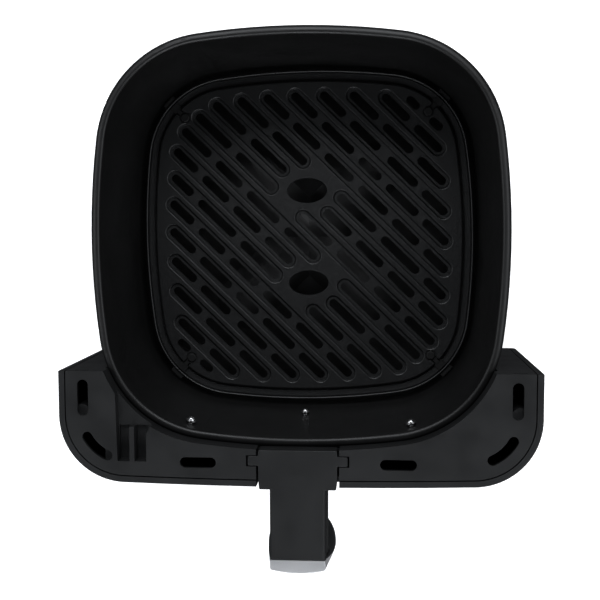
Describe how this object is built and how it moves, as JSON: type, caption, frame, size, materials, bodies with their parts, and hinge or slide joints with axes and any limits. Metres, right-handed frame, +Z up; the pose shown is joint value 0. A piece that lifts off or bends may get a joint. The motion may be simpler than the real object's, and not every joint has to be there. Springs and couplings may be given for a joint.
{
  "type": "air fryer drawer",
  "caption": "Air fryer pull-out drawer: rounded square pan, lift-out slotted crisper plate, vented front housing and a T-shaped handle with a silver-faced grip.",
  "frame": {"origin": "centre of the pan's flat underside, which is what the drawer stands on", "axes": "+Z up; -Y towards the handle and the cook, +Y into the appliance; +X to the right seen from the handle"},
  "size_m": [0.2776, 0.3142, 0.12],
  "materials": {
    "pan_coating": "satin non-stick coating",
    "plate_coating": "fine textured non-stick coating",
    "silicone": "matte",
    "housing_plastic": "fine spark texture",
    "silver_trim": "satin silver paint",
    "core_plastic": "plain glass-filled plastic",
    "steel": "bright steel",
    "zinc_steel": "zinc-plated"
  },
  "bodies": {
    "drawer": {"pan": "pan_coating", "front_shell": "housing_plastic", "front_liner": "housing_plastic", "mounting_bracket": "zinc_steel", "bracket_rivet_nuts": "zinc_steel", "pan_standoffs": "zinc_steel", "pan_side_screws": "steel", "pan_centre_screw": "steel", "screw_seals": "silicone", "handle_core": "core_plastic", "handle_top_cover": "housing_plastic", "handle_screws": "steel", "cover_screws": "steel", "grip_back": "housing_plastic", "grip_trim": "silver_trim", "grip_stiffener": "zinc_steel", "grip_screws": "steel", "housing_screws": "steel"},
    "crisper": {"crisper_plate": "plate_coating", "bumper_front_left": "silicone", "bumper_front_right": "silicone", "bumper_rear_left": "silicone", "bumper_rear_right": "silicone"}
  },
  "joints": [
    {"name": "plate_lift", "type": "slide", "parent": "drawer", "child": "crisper", "axis": [0, 0, 1], "range_m": [0, 0.12]}
  ]
}
